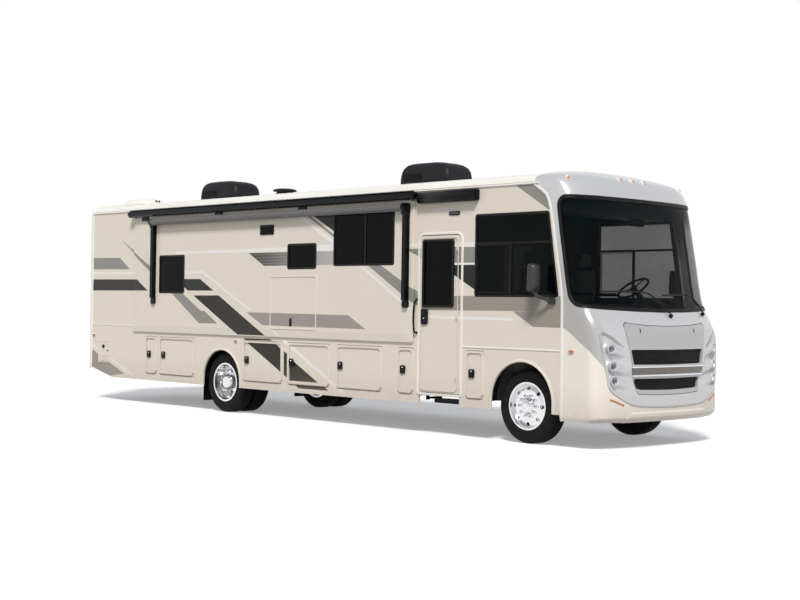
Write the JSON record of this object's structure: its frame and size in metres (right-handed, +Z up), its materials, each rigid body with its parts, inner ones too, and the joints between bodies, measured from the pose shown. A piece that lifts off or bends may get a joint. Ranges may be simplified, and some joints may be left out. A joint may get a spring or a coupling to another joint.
{
  "type": "motorhome",
  "caption": "Class A motorhome: boxy coach body on a ladder chassis with dual rear wheels, entry door, slide-out room, hood and hinged baggage doors.",
  "frame": {"origin": "on the ground under the middle of the coach's overall length and width", "axes": "+X forward, +Y to the driver's (left) side, +Z up"},
  "size_m": [11.4, 3.12, 3.75],
  "materials": {
    "coach_paint": "gloss",
    "nose_paint": "metallic gloss",
    "roof_skin": "satin",
    "dark_glass": "tinted",
    "windshield_glass": "clear",
    "chassis_steel": "satin",
    "axle_iron": "rough",
    "wheel_alloy": "polished",
    "tyre_rubber": "matte",
    "black_plastic": "grained",
    "lamp_lens": "clear",
    "bay_lining": "satin",
    "floor_board": "sealed",
    "cab_trim": "grained",
    "seat_leather": "soft",
    "awning_metal": "anodised",
    "grille_metal": "dark"
  },
  "bodies": {
    "coach": {"frame_rails": "chassis_steel", "cross_members": "chassis_steel", "drive_train": "axle_iron", "fuel_tank": "black_plastic", "front_axle": "axle_iron", "rear_axle": "axle_iron", "leaf_springs": "chassis_steel", "skirt_rails": "coach_paint", "skirt_posts": "coach_paint", "wheel_arches": "coach_paint", "baggage_bays": "bay_lining", "floor": "floor_board", "step_well": "black_plastic", "wall_right": "coach_paint", "wall_left": "coach_paint", "side_glass": "dark_glass", "roof": "roof_skin", "rear_wall": "coach_paint", "front_cap": "nose_paint", "windshield": "windshield_glass", "front_bumper": "nose_paint", "lamps": "lamp_lens", "door_awning": "black_plastic", "cab_joinery": "cab_trim", "cab_seats": "seat_leather", "roof_units": "black_plastic", "mirrors": "black_plastic", "hitch_receiver": "chassis_steel"},
    "slide_room": {"slide_wall": "coach_paint", "slide_glass": "dark_glass", "slide_box": "coach_paint", "slide_awnings": "awning_metal"},
    "entry_door": {"entry_door": "coach_paint", "entry_glass": "dark_glass"},
    "hood": {"hood": "nose_paint", "grille": "grille_metal"},
    "knuckle_right": {"knuckle_right": "axle_iron"},
    "knuckle_left": {"knuckle_left": "axle_iron"},
    "front_wheel_right": {"front_wheel_right": "wheel_alloy", "front_tyre_right": "tyre_rubber"},
    "front_wheel_left": {"front_wheel_left": "wheel_alloy", "front_tyre_left": "tyre_rubber"},
    "rear_wheel_right": {"rear_wheels_right": "wheel_alloy", "rear_tyres_right": "tyre_rubber"},
    "rear_wheel_left": {"rear_wheels_left": "wheel_alloy", "rear_tyres_left": "tyre_rubber"},
    "step_arms": {"step_arms": "chassis_steel"},
    "step_tread": {"step_tread": "black_plastic"},
    "steering_wheel": {"steering_wheel": "cab_trim"},
    "bay_door_right_1": {"bay_door_right_1": "coach_paint"},
    "bay_door_right_2": {"bay_door_right_2": "coach_paint"},
    "bay_door_right_3": {"bay_door_right_3": "coach_paint"},
    "bay_door_right_4": {"bay_door_right_4": "coach_paint"},
    "bay_door_right_5": {"bay_door_right_5": "coach_paint"},
    "bay_door_right_6": {"bay_door_right_6": "coach_paint"},
    "bay_door_right_7": {"bay_door_right_7": "coach_paint"},
    "bay_door_left_1": {"bay_door_left_1": "coach_paint"},
    "bay_door_left_2": {"bay_door_left_2": "coach_paint"},
    "bay_door_left_3": {"bay_door_left_3": "coach_paint"}
  },
  "joints": [
    {"name": "steer_right", "type": "hinge", "parent": "coach", "child": "knuckle_right", "pos_m": [4.35, -0.86, 0.465], "axis": [0, 0, 1], "range_deg": [-35, 35]},
    {"name": "steer_left", "type": "hinge", "parent": "coach", "child": "knuckle_left", "pos_m": [4.35, 0.86, 0.465], "axis": [0, 0, 1], "range_deg": [-35, 35]},
    {"name": "front_spin_right", "type": "hinge", "parent": "knuckle_right", "child": "front_wheel_right", "pos_m": [4.35, -1.04, 0.465], "axis": [0, 1, 0], "continuous": true},
    {"name": "front_spin_left", "type": "hinge", "parent": "knuckle_left", "child": "front_wheel_left", "pos_m": [4.35, 1.04, 0.465], "axis": [0, 1, 0], "continuous": true},
    {"name": "rear_spin_right", "type": "hinge", "parent": "coach", "child": "rear_wheel_right", "pos_m": [-1.8, -0.93, 0.465], "axis": [0, 1, 0], "continuous": true},
    {"name": "rear_spin_left", "type": "hinge", "parent": "coach", "child": "rear_wheel_left", "pos_m": [-1.8, 0.93, 0.465], "axis": [0, 1, 0], "continuous": true},
    {"name": "entry_door_hinge", "type": "hinge", "parent": "coach", "child": "entry_door", "pos_m": [3.304, -1.2823, 1.584], "axis": [0, 0, 1], "range_deg": [0, 95]},
    {"name": "bay_door_right_1_hinge", "type": "hinge", "parent": "coach", "child": "bay_door_right_1", "pos_m": [-3.556, -1.2823, 0.82], "axis": [0, 0, 1], "range_deg": [0, 90]},
    {"name": "bay_door_right_2_hinge", "type": "hinge", "parent": "coach", "child": "bay_door_right_2", "pos_m": [-2.521, -1.2823, 0.82], "axis": [0, 0, 1], "range_deg": [0, 90]},
    {"name": "bay_door_right_3_hinge", "type": "hinge", "parent": "coach", "child": "bay_door_right_3", "pos_m": [-0.301, -1.2823, 0.82], "axis": [0, 0, 1], "range_deg": [0, 90]},
    {"name": "bay_door_right_4_hinge", "type": "hinge", "parent": "coach", "child": "bay_door_right_4", "pos_m": [0.754, -1.2823, 0.82], "axis": [0, 0, 1], "range_deg": [0, 90]},
    {"name": "bay_door_right_5_hinge", "type": "hinge", "parent": "coach", "child": "bay_door_right_5", "pos_m": [1.839, -1.2823, 0.82], "axis": [0, 0, 1], "range_deg": [0, 90]},
    {"name": "bay_door_right_6_hinge", "type": "hinge", "parent": "coach", "child": "bay_door_right_6", "pos_m": [2.454, -1.2823, 0.82], "axis": [0, 0, 1], "range_deg": [0, 90]},
    {"name": "bay_door_right_7_hinge", "type": "hinge", "parent": "coach", "child": "bay_door_right_7", "pos_m": [3.724, -1.2823, 0.82], "axis": [0, 0, 1], "range_deg": [0, 90]},
    {"name": "bay_door_left_1_hinge", "type": "hinge", "parent": "coach", "child": "bay_door_left_1", "pos_m": [-2.521, 1.2823, 0.82], "axis": [0, 0, -1], "range_deg": [0, 90]},
    {"name": "bay_door_left_2_hinge", "type": "hinge", "parent": "coach", "child": "bay_door_left_2", "pos_m": [-0.301, 1.2823, 0.82], "axis": [0, 0, -1], "range_deg": [0, 90]},
    {"name": "bay_door_left_3_hinge", "type": "hinge", "parent": "coach", "child": "bay_door_left_3", "pos_m": [1.839, 1.2823, 0.82], "axis": [0, 0, -1], "range_deg": [0, 90]},
    {"name": "hood_hinge", "type": "hinge", "parent": "coach", "child": "hood", "pos_m": [5.59672, 0, 1.53], "axis": [0, -1, 0], "range_deg": [0, 75]},
    {"name": "slide_out", "type": "slide", "parent": "coach", "child": "slide_room", "axis": [0, -1, 0], "range_m": [0, 0.6]},
    {"name": "step_swing", "type": "hinge", "parent": "coach", "child": "step_arms", "pos_m": [2.93, -1.17, 0.473], "axis": [-1, 0, 0], "range_deg": [0, 150]},
    {"name": "step_level", "type": "hinge", "parent": "step_arms", "child": "step_tread", "pos_m": [2.93, -0.94, 0.473], "axis": [-1, 0, 0], "range_deg": [-150, 0]},
    {"name": "steering_wheel_turn", "type": "hinge", "parent": "coach", "child": "steering_wheel", "pos_m": [4.68, 0.54, 1.96], "axis": [-0.5736, 0, 0.8192], "range_deg": [-350, 350]}
  ],
  "couplings": [
    {"joint": "steer_right", "follows": "steer_left", "ratio": 1},
    {"joint": "step_level", "follows": "step_swing", "ratio": -1},
    {"joint": "steering_wheel_turn", "follows": "steer_left", "ratio": 10}
  ]
}
